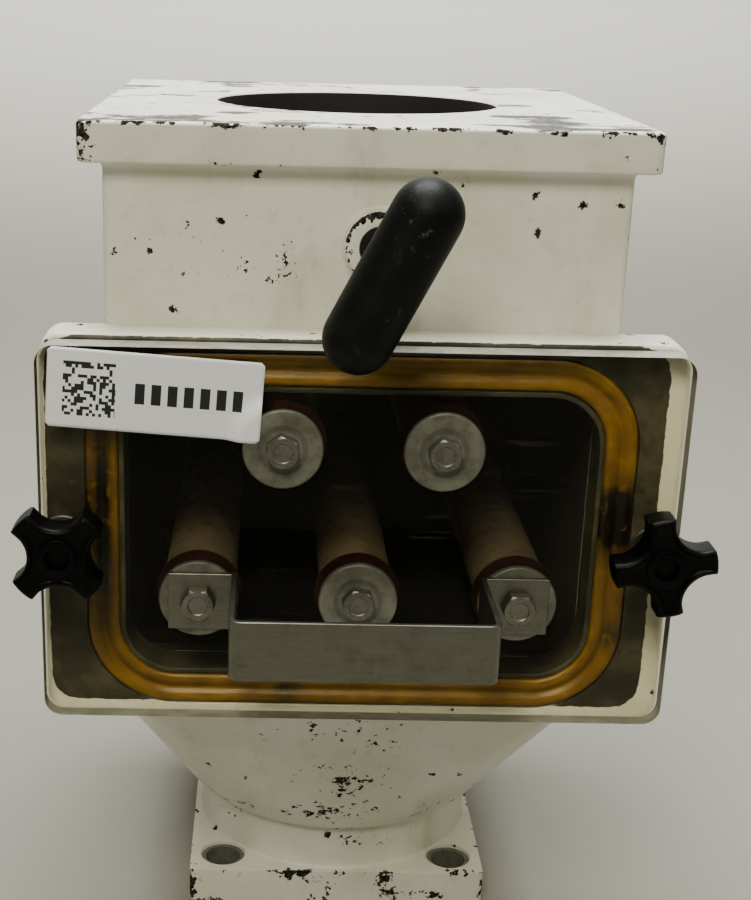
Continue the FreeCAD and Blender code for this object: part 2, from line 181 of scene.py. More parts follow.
steelFinishes = {
    # grain is the line spacing in mm; the lines run along the axis whose stretch is small
    "brushedStainless": {"colours": ("#8f8d87", "#b7b5ae"), "dirt": "#6b6458", "share": 0.25,
                         "rough": 0.34, "grain": 0.5, "stretch": (0.03, 1, 1)},
    "handleStrip": {"colours": ("#66655b", "#777669"), "dirt": "#4b493e", "share": 0.3,
                    "rough": 0.36, "grain": 0.45, "stretch": (0.03, 1, 1)},
    "dustyTube": {"colours": ("#463c2b", "#5d5040"), "dirt": "#241c13", "share": 0.6,
                  "rough": 0.6, "grain": 0.6, "stretch": (1, 0.05, 1), "metal": 0.0},
    "dullZinc": {"colours": ("#65635a", "#8b897d"), "dirt": "#3a3328", "share": 0.5,
                 "rough": 0.42, "grain": 0.7, "stretch": (1, 1, 1)},
    "drilledIron": {"colours": ("#5f5d56", "#84827a"), "dirt": "#23211e", "share": 0.7,
                    "rough": 0.5, "grain": 0.5, "stretch": (1, 1, 1), "metal": 0.1},
    "turnedRod": {"colours": ("#8d8c88", "#b9b8b3"), "dirt": "#57524a", "share": 0.2,
                  "rough": 0.26, "grain": 0.35, "stretch": (1, 0.2, 1)},
    "turnedBronze": {"colours": ("#8a6a33", "#a8854a"), "dirt": "#3c2d18", "share": 0.3,
                     "rough": 0.35, "grain": 0.4, "stretch": (1, 0.2, 1)},
    "nickelMagnet": {"colours": ("#8f9094", "#b4b5b8"), "dirt": "#6b6b6b", "share": 0.1,
                     "rough": 0.2, "grain": 0.5, "stretch": (1, 1, 1)},
}


def makeSteel(name, setup):
    # rolled or turned metal: fine lines from the tool, dulled by handling; "metal" is low under thick dust
    material, tree, place = startMaterial(name)
    lines = blotches(tree, place, setup["grain"], 0.0, 1.0, 2, 0.5, setup["stretch"])
    tone = addNode(tree, "Mix", {0: lines, 6: setup["colours"][0], 7: setup["colours"][1]},
                   out=2, data_type="RGBA")
    dust = blotches(tree, place, 8, 0.45, 0.75, 6, 0.7, shift=3.3)
    dust = addNode(tree, "Math", {0: dust, 1: setup["share"]}, operation="MULTIPLY")
    tone = addNode(tree, "Mix", {0: dust, 6: tone, 7: setup["dirt"]}, out=2, data_type="RGBA")
    rough = addNode(tree, "Math", {0: dust, 1: 0.4, 2: setup["rough"]}, operation="MULTIPLY_ADD")
    normal = addNode(tree, "Bump", {"Height": lines, "Distance": 0.015 * mm, "Strength": 0.5})
    shader = addNode(tree, "BsdfPrincipled", {"Base Color": tone, "Metallic": setup.get("metal", 1.0),
                                              "Roughness": rough, "Normal": normal})
    addNode(tree, "OutputMaterial", {"Surface": shader})
    return material


mouldedFinishes = {
    "gripRubber": {"colours": ("#030404", "#0a0b0b"), "dust": "#7b7d80", "share": 0.40,
                   "rough": 0.5, "pit": 1.1, "depth": 0.12, "gloss": 0.16},
    "amberRubber": {"colours": ("#684905", "#83620b"), "dust": "#3a2a0a", "share": 0.6,
                    "rough": 0.36, "pit": 2.0, "depth": 0.05, "gloss": 0.35},
    "redSeal": {"colours": ("#27140e", "#3b2118"), "dust": "#1c100a", "share": 0.4,
                "rough": 0.5, "pit": 1.5, "depth": 0.04, "gloss": 0.3},
    "knobPhenolic": {"colours": ("#010101", "#030303"), "dust": "#3b3b3c", "share": 0.06,
                     "rough": 0.40, "pit": 0.8, "depth": 0.03, "gloss": 0.10},
    "sawnEdge": {"colours": ("#8f8d80", "#adab9e"), "dust": "#4d4a3f", "share": 0.5,
                 "rough": 0.6, "pit": 0.8, "depth": 0.03, "gloss": 0.3},
    "wiperRubber": {"colours": ("#0d0c0b", "#191715"), "dust": "#3a352c", "share": 0.5,
                    "rough": 0.55, "pit": 1.0, "depth": 0.05, "gloss": 0.3},
}


def makeMoulded(name, setup):
    # rubber, phenolic or sawn acrylic: even colour, faint pitting, dust held in scuffs
    material, tree, place = startMaterial(name)
    tone = addNode(tree, "Mix", {0: blotches(tree, place, 14, 0.35, 0.7), 6: setup["colours"][0],
                                 7: setup["colours"][1]}, out=2, data_type="RGBA")
    scuffs = addNode(tree, "Math", {0: blotches(tree, place, 6, 0.55, 0.72, 6, 0.72, shift=4.2),
                                    1: blotches(tree, place, 24, 0.42, 0.62, 2, shift=1.1)},
                     operation="MULTIPLY")
    dust = addNode(tree, "Math", {0: scuffs, 1: setup["share"]}, operation="MULTIPLY")
    tone = addNode(tree, "Mix", {0: dust, 6: tone, 7: setup["dust"]}, out=2, data_type="RGBA")
    # painted shade: near black mixed in where the piece carries a dirt value; only the gasket carries one
    paintedShade = addNode(tree, "Math", {0: addNode(tree, "Attribute", out=2, attribute_name="dirt"),
                                 1: blotches(tree, place, 5, 0.25, 0.5, 4, shift=6.1)}, operation="MULTIPLY")
    tone = addNode(tree, "Mix", {0: paintedShade, 6: tone, 7: "#0b0805"}, out=2, data_type="RGBA")
    rough = addNode(tree, "Math", {0: dust, 1: 0.5, 2: setup["rough"]}, operation="MULTIPLY_ADD")
    pits = blotches(tree, place, setup["pit"], 0.0, 1.0, 3, shift=2.9)
    normal = addNode(tree, "Bump", {"Height": pits, "Distance": setup["depth"] * mm, "Strength": 0.7})
    shader = addNode(tree, "BsdfPrincipled", {"Base Color": tone, "Roughness": rough, "Normal": normal,
                                              "Specular IOR Level": setup["gloss"]})
    addNode(tree, "OutputMaterial", {"Surface": shader})
    return material


acrylic = {"tint": "#f6f5ee", "haze": "#b9b6a4", "share": 0.003, "scratch": 0.03, "gloss": 0.10}


def makeAcrylic():
    # cast acrylic sheet: clear, with handling haze and hair scratches on its face
    material, tree, place = startMaterial("castAcrylic")
    bending = addNode(tree, "BsdfRefraction", {"Color": acrylic["tint"], "Roughness": 0.02, "IOR": 1.49})
    mirror = addNode(tree, "BsdfGlossy", {"Color": acrylic["tint"], "Roughness": 0.05})
    glare = addNode(tree, "Math", {0: addNode(tree, "Fresnel", {"IOR": 1.49}), 1: acrylic["gloss"]},
                    operation="MULTIPLY")
    clear = addNode(tree, "MixShader", {0: glare, 1: bending, 2: mirror})
    film = addNode(tree, "BsdfPrincipled", {"Base Color": acrylic["haze"], "Roughness": 0.6})
    scratches = blotches(tree, place, 2.2, 0.66, 0.70, 2, 0.5, (0.06, 1, 1.5), 3.0)
    scratches = addNode(tree, "Math", {0: scratches, 1: acrylic["scratch"]}, operation="MULTIPLY")
    haze = addNode(tree, "Math", {0: blotches(tree, place, 34, 0.3, 0.8, 5), 1: acrylic["share"],
                                  2: acrylic["share"] * 0.4}, operation="MULTIPLY_ADD")
    share = addNode(tree, "Math", {0: scratches, 1: haze}, operation="MAXIMUM")
    sheet = addNode(tree, "MixShader", {0: share, 1: clear, 2: film})
    # lamps reach the gasket and the bars through the sheet
    lampLight = addNode(tree, "BsdfTransparent", {"Color": acrylic["tint"]})
    fromLamp = addNode(tree, "LightPath", out=1)
    sheet = addNode(tree, "MixShader", {0: fromLamp, 1: sheet, 2: lampLight})
    addNode(tree, "OutputMaterial", {"Surface": sheet})
    return material


turnedDisc = {"colours": ("#5a5a4c", "#77776a"), "ring": "#35342a"}


def makeTurnedDisc():
    # turned disc washer, dulled and dusty; darker in its ring round the screw head, painted shadow of the
    # head over dirt in the groove, and at its rim
    material, tree, place = startMaterial("turnedDisc")
    # this mask is painted shade round the screw head and at the rim, over some dirt in the groove
    dirt = addNode(tree, "Attribute", out=2, attribute_name="wear")
    tone = addNode(tree, "Mix", {0: blotches(tree, place, 10, 0.36, 0.66, 5, 0.65),
                                 6: turnedDisc["colours"][0], 7: turnedDisc["colours"][1]},
                   out=2, data_type="RGBA")
    tone = addNode(tree, "Mix", {0: dirt, 6: tone, 7: turnedDisc["ring"]}, out=2, data_type="RGBA")
    normal = addNode(tree, "Bump", {"Height": blotches(tree, place, 1.2, 0.0, 1.0, 3),
                                    "Distance": 0.03 * mm, "Strength": 0.5})
    shader = addNode(tree, "BsdfPrincipled", {"Base Color": tone, "Metallic": 0.35, "Roughness": 0.45,
                                              "Normal": normal})
    addNode(tree, "OutputMaterial", {"Surface": shader})
    return material


# near-black colours: painted shade for the dark inside of the housing and the bores
insidePaintedShade = {"colours": ("#030202", "#080604"), "patch": 22, "grit": 3}


def makeInsidePaintedShade():
    # inner walls under brown product dust, coloured almost black as painted shade for the dark inside: matt
    material, tree, place = startMaterial("insidePaintedShade")
    tone = addNode(tree, "Mix", {0: blotches(tree, place, insidePaintedShade["patch"], 0.35, 0.7, 5),
                                 6: insidePaintedShade["colours"][0], 7: insidePaintedShade["colours"][1]},
                   out=2, data_type="RGBA")
    normal = addNode(tree, "Bump", {"Height": blotches(tree, place, insidePaintedShade["grit"], 0.0, 1.0),
                                    "Distance": 0.2 * mm, "Strength": 0.6})
    shader = addNode(tree, "BsdfPrincipled", {"Base Color": tone, "Roughness": 0.8, "Normal": normal})
    addNode(tree, "OutputMaterial", {"Surface": shader})
    return material


labelPrint = {"paper": "#f2f4f8", "ink": "#1b1c20", "cells": 17,
              # left, right, low and high edges as shares of the sheet
              "block": (0.075, 0.32, 0.16, 0.84), "bars": (0.40, 0.93, 0.36, 0.62), "barCount": 7}


def makeLabelPaper():
    # coated paper with a random block of dots and seven plain bars; it says nothing
    material, tree, _ = startMaterial("labelPaper")
    across, up = (addNode(tree, "SeparateXYZ", {0: addNode(tree, "UVMap")}, out=i) for i in (0, 1))
    left, right, low, high = labelPrint["block"]
    barLeft, barRight, barLow, barHigh = labelPrint["bars"]

    cells = []
    for value, span in ((across, right - left), (up, high - low)):
        scaled = addNode(tree, "Math", {0: value, 1: labelPrint["cells"] / span}, operation="MULTIPLY")
        cells.append(addNode(tree, "Math", {0: scaled}, operation="FLOOR"))
    cell = addNode(tree, "CombineXYZ", {0: cells[0], 1: cells[1]})
    noise = addNode(tree, "TexWhiteNoise", {"Vector": cell})
    along = addNode(tree, "MapRange", {"Value": across, "From Min": barLeft, "From Max": barRight,
                                       "To Max": labelPrint["barCount"]}, clamp=False)
    phase = addNode(tree, "Math", {0: along}, operation="FRACT")

    # each print is the product of its limits
    inks = []
    for limits in (((noise, 0.5, 2), (across, left, right), (up, low, high)),
                   ((phase, 0.12, 0.72), (across, barLeft, barRight), (up, barLow, barHigh))):
        ink = 1.0
        for value, least, most in limits:
            for bound, operation in ((least, "GREATER_THAN"), (most, "LESS_THAN")):
                held = addNode(tree, "Math", {0: value, 1: bound}, operation=operation)
                ink = addNode(tree, "Math", {0: ink, 1: held}, operation="MULTIPLY")
        inks.append(ink)
    printed = addNode(tree, "Math", {0: inks[0], 1: inks[1]}, operation="MAXIMUM")
    tone = addNode(tree, "Mix", {0: printed, 6: labelPrint["paper"], 7: labelPrint["ink"]},
                   out=2, data_type="RGBA")
    shader = addNode(tree, "BsdfPrincipled", {"Base Color": tone, "Roughness": 0.42})
    addNode(tree, "OutputMaterial", {"Surface": shader})
    return material


print("finishes")
enamelPaint = makeCasting("chippedEnamel", (enamelSurface,))
frameFinish = makeCasting("enamelOnMilledIron", (enamelSurface, ironSurface))
steels = {name: makeSteel(name, setup) for name, setup in steelFinishes.items()}
moulded = {name: makeMoulded(name, setup) for name, setup in mouldedFinishes.items()}
acrylicSheet = makeAcrylic()
discFinish = makeTurnedDisc()
insideShadeFinish = makeInsidePaintedShade()
labelPaper = makeLabelPaper()


# helpers for building pieces; lengths in millimetres

def boxOf(*nodes):
    corners = np.array([[list(c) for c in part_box(node)] for node in nodes]) / mm
    return corners[:, 0].min(axis=0), corners[:, 1].max(axis=0)


def addPiece(name, bm, materials, body, replaces=(), sharpAngle=38):
    bmesh.ops.recalc_face_normals(bm, faces=bm.faces)
    mesh = bpy.data.meshes.new(name)
    bm.to_mesh(mesh)
    bm.free()
    mesh.shade_smooth()
    mesh.set_sharp_from_angle(angle=math.radians(sharpAngle))
    piece = bpy.data.objects.new(name, mesh)
    bpy.context.scene.collection.objects.link(piece)
    for material in materials:
        mesh.materials.append(material)
    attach(piece, body)
    if replaces:
        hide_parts(*replaces)
    weighted = piece.modifiers.new("evenShade", "WEIGHTED_NORMAL")
    weighted.keep_sharp = True
    return piece


def setAttribute(piece, name, values):
    attribute = piece.data.attributes.new(name, "FLOAT", "POINT")
    attribute.data.foreach_set("value", np.asarray(values, np.float32))


def pointsOf(piece):
    flat = np.zeros(len(piece.data.vertices) * 3, np.float32)
    piece.data.vertices.foreach_get("co", flat)
    return flat.reshape(-1, 3) / mm


def nearLines(points, segments, reach):
    # 1 on a line, fading to 0 at this distance from it
    best = np.full(len(points), 1e9)
    for start, end in segments:
        along = end - start
        t = np.clip((points - start) @ along / max(along @ along, 1e-9), 0, 1)
        best = np.minimum(best, np.linalg.norm(points - start - t[:, None] * along, axis=1))
    return np.clip(1 - best / reach, 0, 1)


def spots(points, places):
    # soft ellipsoids: centre, radii, strength
    total = np.zeros(len(points))
    for centre, radii, strength in places:
        away = (points - np.array(centre, float)) / np.array(radii, float)
        total = np.maximum(total, strength * np.exp(-(away ** 2).sum(axis=1)))
    return total


def fromNode(node, bevel, grid=None, segments=2, sharp=28):
    # a CAD node's shape with its sharp edges eased and, if asked, a fine grid cut into it
    bm = bmesh.new()
    bm.from_mesh(cadNodes[node].data)
    bmesh.ops.remove_doubles(bm, verts=bm.verts, dist=2e-6)
    bmesh.ops.dissolve_limit(bm, angle_limit=math.radians(1.2), verts=bm.verts, edges=bm.edges)
    edges = [e for e in bm.edges if len(e.link_faces) == 2 and e.calc_face_angle() > math.radians(sharp)]
    lines = [tuple(np.array(v.co) / mm for v in e.verts) for e in edges]
    bmesh.ops.bevel(bm, geom=edges, offset=bevel * mm, segments=segments, profile=0.5, affect="EDGES",
                    clamp_overlap=True)
    if grid:
        bmesh.ops.triangulate(bm, faces=[f for f in bm.faces if len(f.verts) > 4])
        low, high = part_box(node)
        for axis in range(3):
            normal = Vector([float(axis == i) for i in range(3)])
            count = int((high[axis] - low[axis]) / (grid * mm))
            for step in range(1, count):
                place = low + (high - low) * (step / count)
                everything = bm.verts[:] + bm.edges[:] + bm.faces[:]
                bmesh.ops.bisect_plane(bm, geom=everything, dist=1e-7, plane_co=place, plane_no=normal)
    return bm, lines


def ringSkin(bm, rings, closed=False, cap=(False, False)):
    # quads between rings of equal point count
    rows = [[bm.verts.new(Vector(p) * mm) for p in ring] for ring in rings]
    pairs = list(zip(rows, rows[1:])) + ([(rows[-1], rows[0])] if closed else [])
    for lower, upper in pairs:
        for i in range(len(lower)):
            j = (i + 1) % len(lower)
            bm.faces.new((lower[i], lower[j], upper[j], upper[i]))
    for wanted, row in zip(cap, (rows[0], rows[-1])):
        if wanted:
            centre = bm.verts.new(sum((v.co for v in row), Vector()) / len(row))
            for i, vert in enumerate(row):
                bm.faces.new((vert, row[(i + 1) % len(row)], centre))
    return rows


def turned(profile, x, z, count=72):
    # rings about an axis along Y; the profile holds (radius, y)
    angles = [2 * math.pi * i / count for i in range(count)]
    return [[(x + r * math.cos(a), y, z + r * math.sin(a)) for a in angles] for r, y in profile]


def bent(start, end, steps=6):
    # quarter-round between two profile points: leaves the first along the radius
    (r0, y0), (r1, y1) = start, end
    turns = [math.pi / 2 * i / steps for i in range(steps + 1)]
    return [(r0 + (r1 - r0) * math.sin(t), y0 + (y1 - y0) * (1 - math.cos(t))) for t in turns]


def around(width, depth, corner, sidePoints, cornerPoints, keep=None):
    # rounded rectangle in plan: a side, then a corner, four times; keep puts two side points there
    points = []
    for quarter in range(4):
        across, along = (width, depth) if quarter % 2 == 0 else (depth, width)
        reach, half = across / 2, along / 2 - corner
        places = list(np.linspace(-half, half, sidePoints, endpoint=False))
        if keep and quarter == 3:
            places = [-half] + list(np.linspace(-keep, keep, sidePoints - 2)) + [(half + keep) / 2]
        local = [(reach, s) for s in places]
        for i in range(cornerPoints):
            a = math.pi / 2 * i / cornerPoints
            local.append((reach - corner + corner * math.cos(a), half + corner * math.sin(a)))
        turn = math.pi / 2 * quarter
        points += [(u * math.cos(turn) - v * math.sin(turn), u * math.sin(turn) + v * math.cos(turn))
                   for u, v in local]
    return np.array(points)


def roundAbout(radius, sidePoints, cornerPoints, side=12.0):
    # circle whose points pair with the rounded rectangle's, short arcs for its sides
    angles = []
    for quarter in range(4):
        angles += list(90 * quarter + np.linspace(-side, side, sidePoints, endpoint=False))
        angles += list(90 * quarter + np.linspace(side, 90 - side, cornerPoints, endpoint=False))
    angles = np.radians(angles)
    return np.stack([radius * np.cos(angles), radius * np.sin(angles)], axis=1)


def level(outline, z):
    return np.column_stack([outline, np.full(len(outline), z)])


def upright(outline, y, x=0.0, z=0.0):
    return np.column_stack([outline[:, 0] + x, np.full(len(outline), y), outline[:, 1] + z])


# welded box, hopper and neck, as one painted shell

shell = {"corner": 3.0, "wall": 8.0, "step": 4.0, "sidePoints": 44, "cornerPoints": 18, "weld": 3.2,
         "ledge": 79.0, "neckWall": 5.0, "hopperWall": 5.0, "hopperStep": 3.0, "openingHalf": 100.5}


def buildHousingShell():
    plates, hopper, neck = (boxOf("left_side_plate", "right_side_plate"), boxOf("hopper"), boxOf("neck_ring"))
    sill, lintel = boxOf("front_lower_plate")[1][2], boxOf("front_upper_plate")[0][2]
    width, depth = hopper[1][0] - hopper[0][0], hopper[1][1] - hopper[0][1]
    top, fold, neckTop, neckFoot = plates[1][2], hopper[1][2], neck[1][2], neck[0][2]
    outerRadius = neck[1][0]
    boreRadius, ledge = outerRadius - shell["neckWall"], shell["ledge"]
    count = (shell["sidePoints"], shell["cornerPoints"])

    def spread(high, low):
        return list(np.linspace(high, low, max(2, int((high - low) / shell["step"]) + 1)))

    def boxRing(inset, z):
        corner = max(shell["corner"] - inset, 1.0)
        keep = shell["openingHalf"]
        return level(around(width - 2 * inset, depth - 2 * inset, corner, *count, keep=keep), z)

    def hopperRing(inset, radius, share, z):
        square = around(width - 2 * inset, depth - 2 * inset, max(shell["corner"] - inset, 1.0), *count)
        if share < 0.02:
            square = boxRing(inset, 0)[:, :2]
        return level(square * (1 - share) + roundAbout(radius, *count) * share, z)

    fillet = [(-shell["weld"] * (1 - math.sin(a)), shell["weld"] * (1 - math.cos(a)))
              for a in np.linspace(0, math.pi / 2, 5)]
    levels = spread(top - shell["weld"] * 1.6, lintel) + spread(lintel, sill)[1:] + spread(sill, fold)[1:]
    outer = [boxRing(inset, top - drop) for inset, drop in fillet] + [boxRing(0, z) for z in levels]
    inner = [boxRing(shell["wall"], top)] + [boxRing(shell["wall"], z) for z in levels]
    steps = int((fold - neckTop) / shell["hopperStep"])
    for i in range(1, steps + 1):
        share = i / steps
        z = fold + (neckTop - fold) * share
        outer.append(hopperRing(0, ledge, share, z + (0.7 if i == steps else 0)))
        inner.append(hopperRing(shell["hopperWall"], boreRadius, share, z))
    for radius, z in ((ledge - 0.8, neckTop), (outerRadius + 1.6, neckTop),
                      (outerRadius + 0.5, neckTop - 0.4), (outerRadius, neckTop - 1.6)):
        outer.append(level(roundAbout(radius, *count), z))
    for z in spread(neckTop - 5, neckFoot + 1.6):
        outer.append(level(roundAbout(outerRadius, *count), z))
    outer.append(level(roundAbout(outerRadius + 0.5, *count), neckFoot + 0.5))
    outer.append(level(roundAbout(outerRadius + 1.2, *count), neckFoot))
    inner.append(level(roundAbout(boreRadius, *count), neckFoot))

    bm = bmesh.new()
    rows = ringSkin(bm, outer + inner[::-1], closed=True)
    insideVerts = {v for row in rows[len(outer):] for v in row}
    for face in bm.faces:
        face.material_index = int(sum(v in insideVerts for v in face.verts) >= 3)
    # the drawer's opening through the front wall
    halfWide, front = shell["openingHalf"] + 0.1, (plates[0][1] + shell["wall"] + 1) * mm
    gap = [f for f in bm.faces if all(v.co.y < front and abs(v.co.x) < halfWide * mm and
                                      (sill - 0.1) * mm < v.co.z < (lintel + 0.1) * mm for v in f.verts)]
    rims = {e for f in gap for e in f.edges if not all(g in gap for g in e.link_faces)}
    bmesh.ops.delete(bm, geom=gap, context="FACES_ONLY")
    for face in bmesh.ops.bridge_loops(bm, edges=[e for e in rims if e.is_valid])["faces"]:
        face.material_index = 1
    bmesh.ops.delete(bm, geom=[v for v in bm.verts if not v.link_faces], context="VERTS")

    shellNodes = ("left_side_plate", "right_side_plate", "rear_plate", "front_upper_plate",
                  "front_lower_plate", "hopper", "neck_ring")
    piece = addPiece("housingShell", bm, (enamelPaint, insideShadeFinish), "housing",
                     shellNodes, sharpAngle=50)
    points = pointsOf(piece)
    halfX, halfY = width / 2, depth / 2
    uprights = [(np.array([x, y, fold]), np.array([x, y, top]))
                for x in (-halfX, halfX) for y in (-halfY, halfY)]
    wear = nearLines(points, uprights, 5) * 0.40
    knocks = [((0, -96, 122), (44, 60, 34), 0.50), ((6, -84, 84), (34, 40, 24), 0.60),
              ((-4, -80, 58), (30, 30, 12), 0.74), ((44, -68, 60), (16, 30, 16), 0.56),
              ((-50, -66, 56), (24, 30, 10), 0.62), ((74, -40, 84), (10, 30, 10), 0.70),
              ((20, -72, 34), (60, 14, 10), 0.52), ((-56, -48, 36), (10, 14, 8), 0.60),
              ((-8, 80, 60), (40, 40, 30), 0.40), ((-80, -121, 345), (26, 6, 20), 0.36),
              ((-42, -121, 338), (26, 6, 20), 0.46), ((80, -121, 336), (26, 6, 14), 0.40),
              ((104, -118, 352), (8, 8, 30), 0.36), ((-108, 0, 350), (6, 60, 14), 0.32),
              ((108, 30, 200), (6, 40, 40), 0.30)]
    setAttribute(piece, "wear", np.maximum(wear, spots(points, knocks)))
    setAttribute(piece, "rub", np.zeros(len(points)))
    return piece


# top flange: turned bore, flat sealing face, rounded edges

topPlate = {"bore": 67.0, "edge": 1.6, "corner": 4.0, "sidePoints": 44, "cornerPoints": 18, "bands": 15}


def buildTopFlange():
    low, high = boxOf("top_flange")
    width, depth, corner = high[0] - low[0], high[1] - low[1], topPlate["corner"]
    count = (topPlate["sidePoints"], topPlate["cornerPoints"])
    edge, top, foot = topPlate["edge"], high[2], low[2]
    bore = topPlate["bore"]

    def outline(inset):
        return around(width - 2 * inset, depth - 2 * inset, corner, *count)

    hole = roundAbout(bore, *count)
    eased = roundAbout(bore + 0.8, *count)
    rings = [level(hole, foot), level(hole, (foot + top) / 2), level(hole, top - 0.8), level(eased, top)]
    for i in range(1, topPlate["bands"] + 1):
        rings.append(level(eased + (outline(edge) - eased) * i / topPlate["bands"], top))
    for a in (30, 60, 90):
        a = math.radians(a)
        rings.append(level(outline(edge * (1 - math.sin(a))), top - edge * (1 - math.cos(a))))
    for z in np.linspace(top - edge, foot + 1.2, 5)[1:]:
        rings.append(level(outline(0), z))
    for inset, lift in ((0.35, 0.35), (1.2, 0)):
        rings.append(level(outline(inset), foot + lift))
    rings.append(level(outline(8), foot))
    bm = bmesh.new()
    ringSkin(bm, rings, closed=True)
    for face in bm.faces:
        centre = face.calc_center_median() / mm
        face.material_index = int(math.hypot(centre.x, centre.y) < bore + 0.2)
    piece = addPiece("topFlange", bm, (enamelPaint, insideShadeFinish), "housing",
                     ("top_flange",), sharpAngle=60)
    points = pointsOf(piece)
    x0, y0 = low[0], low[1]
    x1, y1 = high[0], high[1]
    corners = [np.array([x, y, top]) for x, y in ((x0, y0), (x1, y0), (x1, y1), (x0, y1))]
    rim = list(zip(corners, corners[1:] + corners[:1]))
    wear = np.maximum(nearLines(points, rim, 3.2) * 0.60, nearLines(points, rim[:1], 2.4) * 0.74)
    knocks = [((x0, y0, top - 6), (8, 9, 10), 0.92), ((x0 - 1, y0, foot + 3), (5, 7, 5), 0.85),
              ((x0 + 26, y0, top), (36, 3, 2.5), 0.86), ((-60, y0, top), (30, 3, 3), 0.74),
              ((x1 - 26, y0, top), (30, 3, 3), 0.95), ((x1, y0, top - 3), (8, 8, 5), 0.9),
              ((x1 - 3, y0, foot + 2), (5, 6, 3), 0.85), ((34, y0, top), (30, 3, 2), 0.86),
              ((-62, y0, foot + 1), (6, 4, 2.5), 0.85), ((-63, y0, top - 10), (3, 4, 3), 0.72),
              ((-68, y0, top - 3), (4, 4, 2.5), 0.66), ((-38, y0, foot), (4, 4, 2), 0.7),
              ((x0, 40, top), (6, 90, 6), 0.66), ((x1, -60, top), (5, 60, 4), 0.66)]
    setAttribute(piece, "wear", np.maximum(wear, spots(points, knocks)))
    smears = [((-66, 124, top), (28, 20, 4), 1.0), ((-58, 96, top), (20, 26, 4), 1.0),
              ((-64, 58, top), (8, 26, 4), 0.9), ((70, 108, top), (10, 30, 4), 0.95),
              ((-74, -104, top), (26, 34, 4), 0.95), ((-56, -80, top), (13, 14, 4), 1.0),
              ((2, -82, top), (14, 9, 4), 0.8), ((60, -70, top), (14, 14, 4), 1.0),
              ((76, -98, top), (27, 34, 4), 1.05), ((102, -121, top), (34, 8, 4), 1.0),
              ((-28, -122, top), (60, 6, 4), 0.75)]
    scuffed = 0.46 * (points[:, 2] > top - 0.5)
    setAttribute(piece, "rub", np.maximum(spots(points, smears), scuffed))
    return piece


# bottom flange: four bolt holes, each with a bright spot-faced seat

footPlate = {"edge": 1.0, "grid": 5.0, "spacing": 118.5, "seat": 11.6}


def buildBottomFlange():
    bm, lines = fromNode("bottom_flange", footPlate["edge"], footPlate["grid"])
    low, high = boxOf("bottom_flange")
    half = footPlate["spacing"] / 2
    for face in bm.faces:
        centre = face.calc_center_median() / mm
        inHole = math.hypot(abs(centre.x) - half, abs(centre.y) - half) < footPlate["seat"] - 0.5
        inBore = math.hypot(centre.x, centre.y) < 68 and abs(face.normal.z) < 0.5
        face.material_index = 1 if inHole and centre.z < high[2] - 0.5 else 2 if inBore else 0
    piece = addPiece("bottomFlange", bm, (enamelPaint, steels["drilledIron"], insideShadeFinish), "housing",
                     ("bottom_flange",))
    points = pointsOf(piece)
    outside = [line for line in lines if all(max(abs(p[0]), abs(p[1])) > 72 for p in line)]
    holeRims = [line for line in lines
                if all(max(abs(p[0]), abs(p[1])) < 72 and p[2] > high[2] - 1 for p in line)]
    wear = np.maximum(nearLines(points, outside, 3.5) * 0.46, nearLines(points, holeRims, 2.4) * 0.40)
    top, front = high[2], low[1]
    knocks = [((-25, front, top - 2), (8, 5, 5), 1.15), ((-15, front, top - 3), (6, 4, 7), 1.05),
              ((0, front, top - 1), (10, 4, 5), 1.05), ((24, front, top - 6), (7, 4, 9), 1.15),
              ((32, front, top - 10), (4, 4, 5), 0.95), ((-6, front, top - 15), (7, 4, 4), 0.9),
              ((51, front, top - 11), (9, 3, 3), 0.9), ((38, front, top - 12), (4, 4, 5), 0.85),
              ((low[0], front, top - 9), (6, 7, 14), 1.15), ((-66, front, low[2] + 1), (12, 4, 3), 0.95),
              ((68, front, top), (12, 5, 2.5), 0.95), ((high[0], front, top - 9), (2.5, 4, 10), 0.85),
              ((20, -front, top - 6), (30, 5, 8), 0.6), ((high[0], 10, top), (5, 30, 5), 0.62)]
    setAttribute(piece, "wear", np.maximum(wear, spots(points, knocks)))
    setAttribute(piece, "rub", np.zeros(len(points)))
    return piece


# drawer frame: painted casting with a milled face behind the cover

drawerFrame = {"edge": 0.5, "grid": 7.0,
               # width of the paint left at the left, right, bottom and top of the milled face
               "bands": (2.5, 8.5, 6.0, 1.0), "corner": 12.0}


